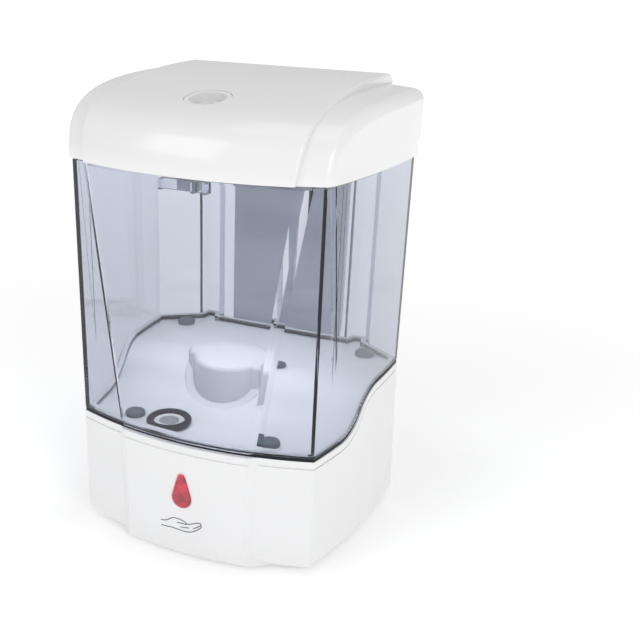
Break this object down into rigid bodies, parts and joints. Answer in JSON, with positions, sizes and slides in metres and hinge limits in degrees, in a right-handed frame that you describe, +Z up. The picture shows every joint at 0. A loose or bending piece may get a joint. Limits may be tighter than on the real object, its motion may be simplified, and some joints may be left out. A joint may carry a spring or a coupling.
{
  "type": "wall mounted soap dispenser",
  "caption": "Wall mounted automatic soap dispenser with a white pump base, a smoky clear tank and a hinged white lid with a key latch.",
  "frame": {"origin": "centre of the wall bracket's back face, on the wall plane", "axes": "+X to the dispenser's left as it faces the user (right in a front view), +Y into the wall, +Z up; the front faces -Y"},
  "size_m": [0.131, 0.1159, 0.1966],
  "materials": {
    "white_shell": "glossy injection-moulded white",
    "white_inner": "satin white moulding",
    "smoky_clear": "clear smoky blue-grey, polished",
    "dark_seal": "matt dark elastomer",
    "grey_plug": "satin blue-grey",
    "silicone": "translucent silicone",
    "pump_plastic": "satin light grey",
    "gear_plastic": "natural acetal",
    "steel": "bright steel",
    "bracket_steel": "light grey coated sheet steel",
    "motor_can": "plated motor can",
    "brass": "machined brass",
    "red_lens": "translucent red",
    "led_clear": "clear epoxy",
    "ir_dark": "infrared-passing black",
    "board": "green solder mask",
    "board_parts": "dark moulded components",
    "switch_dark": "dark nylon",
    "cell": "printed battery sleeve, dark"
  },
  "bodies": {
    "bracket": {"wall_bracket": "bracket_steel"},
    "housing": {"back_cover": "white_inner", "back_screws": "steel", "base_shell": "white_shell", "batteries": "cell", "battery_case": "white_inner", "battery_springs": "steel", "board_parts": "board_parts", "bottom_cover": "white_inner", "bottom_screws": "steel", "contact_plates": "steel", "door_pin": "steel", "drop_lens": "red_lens", "floor_plug": "dark_seal", "indicator_board": "board", "indicator_led": "led_clear", "infrared_emitter": "led_clear", "infrared_receiver": "ir_dark", "main_board": "board", "motor": "motor_can", "nozzle": "grey_plug", "outlet_fitting": "pump_plastic", "outlet_o_ring": "dark_seal", "pump_cover": "pump_plastic", "pump_housing": "pump_plastic", "pump_tube": "silicone", "screw_plugs": "grey_plug", "seam_seal": "dark_seal", "sensor_board": "board", "sensor_window": "ir_dark", "switch_body": "switch_dark", "tank": "smoky_clear", "tank_screws": "steel"},
    "lid_body": {"lid": "white_shell", "lock_cup": "white_shell", "latch_pin": "steel", "latch_spring": "steel", "hinge_pins": "steel"},
    "latch": {"latch_lever": "white_inner"},
    "rotor_body": {"rotor": "gear_plastic", "drive_gear": "gear_plastic", "roller_pins": "steel"},
    "pinion_body": {"motor_shaft": "steel", "motor_pinion": "brass"},
    "first_roller": {"roller_1": "gear_plastic"},
    "second_roller": {"roller_2": "gear_plastic"},
    "third_roller": {"roller_3": "gear_plastic"},
    "door": {"battery_door": "white_inner", "door_contacts": "steel"},
    "slider": {"switch_slider": "switch_dark"}
  },
  "joints": [
    {"name": "lift_off", "type": "slide", "parent": "bracket", "child": "housing", "axis": [0, 0, 1], "range_m": [0, 0.009]},
    {"name": "lid_hinge", "type": "hinge", "parent": "housing", "child": "lid_body", "pos_m": [0, -0.0136, 0.075], "axis": [-1, 0, 0], "range_deg": [0, 70]},
    {"name": "latch_pivot", "type": "hinge", "parent": "lid_body", "child": "latch", "pos_m": [0, -0.08, 0.0704], "axis": [1, 0, 0], "range_deg": [0, 6], "stiffness_Nm_per_rad": 0.05, "springref_deg": -8.59, "deforming": ["latch_spring"]},
    {"name": "battery_door_hinge", "type": "hinge", "parent": "housing", "child": "door", "pos_m": [0, -0.015, -0.1061], "axis": [1, 0, 0], "range_deg": [0, 90]},
    {"name": "power_switch_slide", "type": "slide", "parent": "housing", "child": "slider", "axis": [0, 1, 0], "range_m": [0, 0.003]},
    {"name": "rotor_spin", "type": "hinge", "parent": "housing", "child": "rotor_body", "pos_m": [-0.0002, -0.06921, -0.087], "axis": [0, 0, 1], "continuous": true},
    {"name": "pinion_spin", "type": "hinge", "parent": "housing", "child": "pinion_body", "pos_m": [-0.005, -0.055, -0.074], "axis": [0, 0, 1], "continuous": true},
    {"name": "first_roller_spin", "type": "hinge", "parent": "rotor_body", "child": "first_roller", "pos_m": [-0.0002, -0.06151, -0.087], "axis": [0, 0, 1], "continuous": true},
    {"name": "second_roller_spin", "type": "hinge", "parent": "rotor_body", "child": "second_roller", "pos_m": [-0.00687, -0.07306, -0.087], "axis": [0, 0, 1], "continuous": true},
    {"name": "third_roller_spin", "type": "hinge", "parent": "rotor_body", "child": "third_roller", "pos_m": [0.00647, -0.07306, -0.087], "axis": [0, 0, 1], "continuous": true}
  ],
  "couplings": [
    {"joint": "pinion_spin", "follows": "rotor_spin", "ratio": -4},
    {"joint": "first_roller_spin", "follows": "rotor_spin", "ratio": -3.2},
    {"joint": "second_roller_spin", "follows": "rotor_spin", "ratio": -3.2},
    {"joint": "third_roller_spin", "follows": "rotor_spin", "ratio": -3.2}
  ]
}
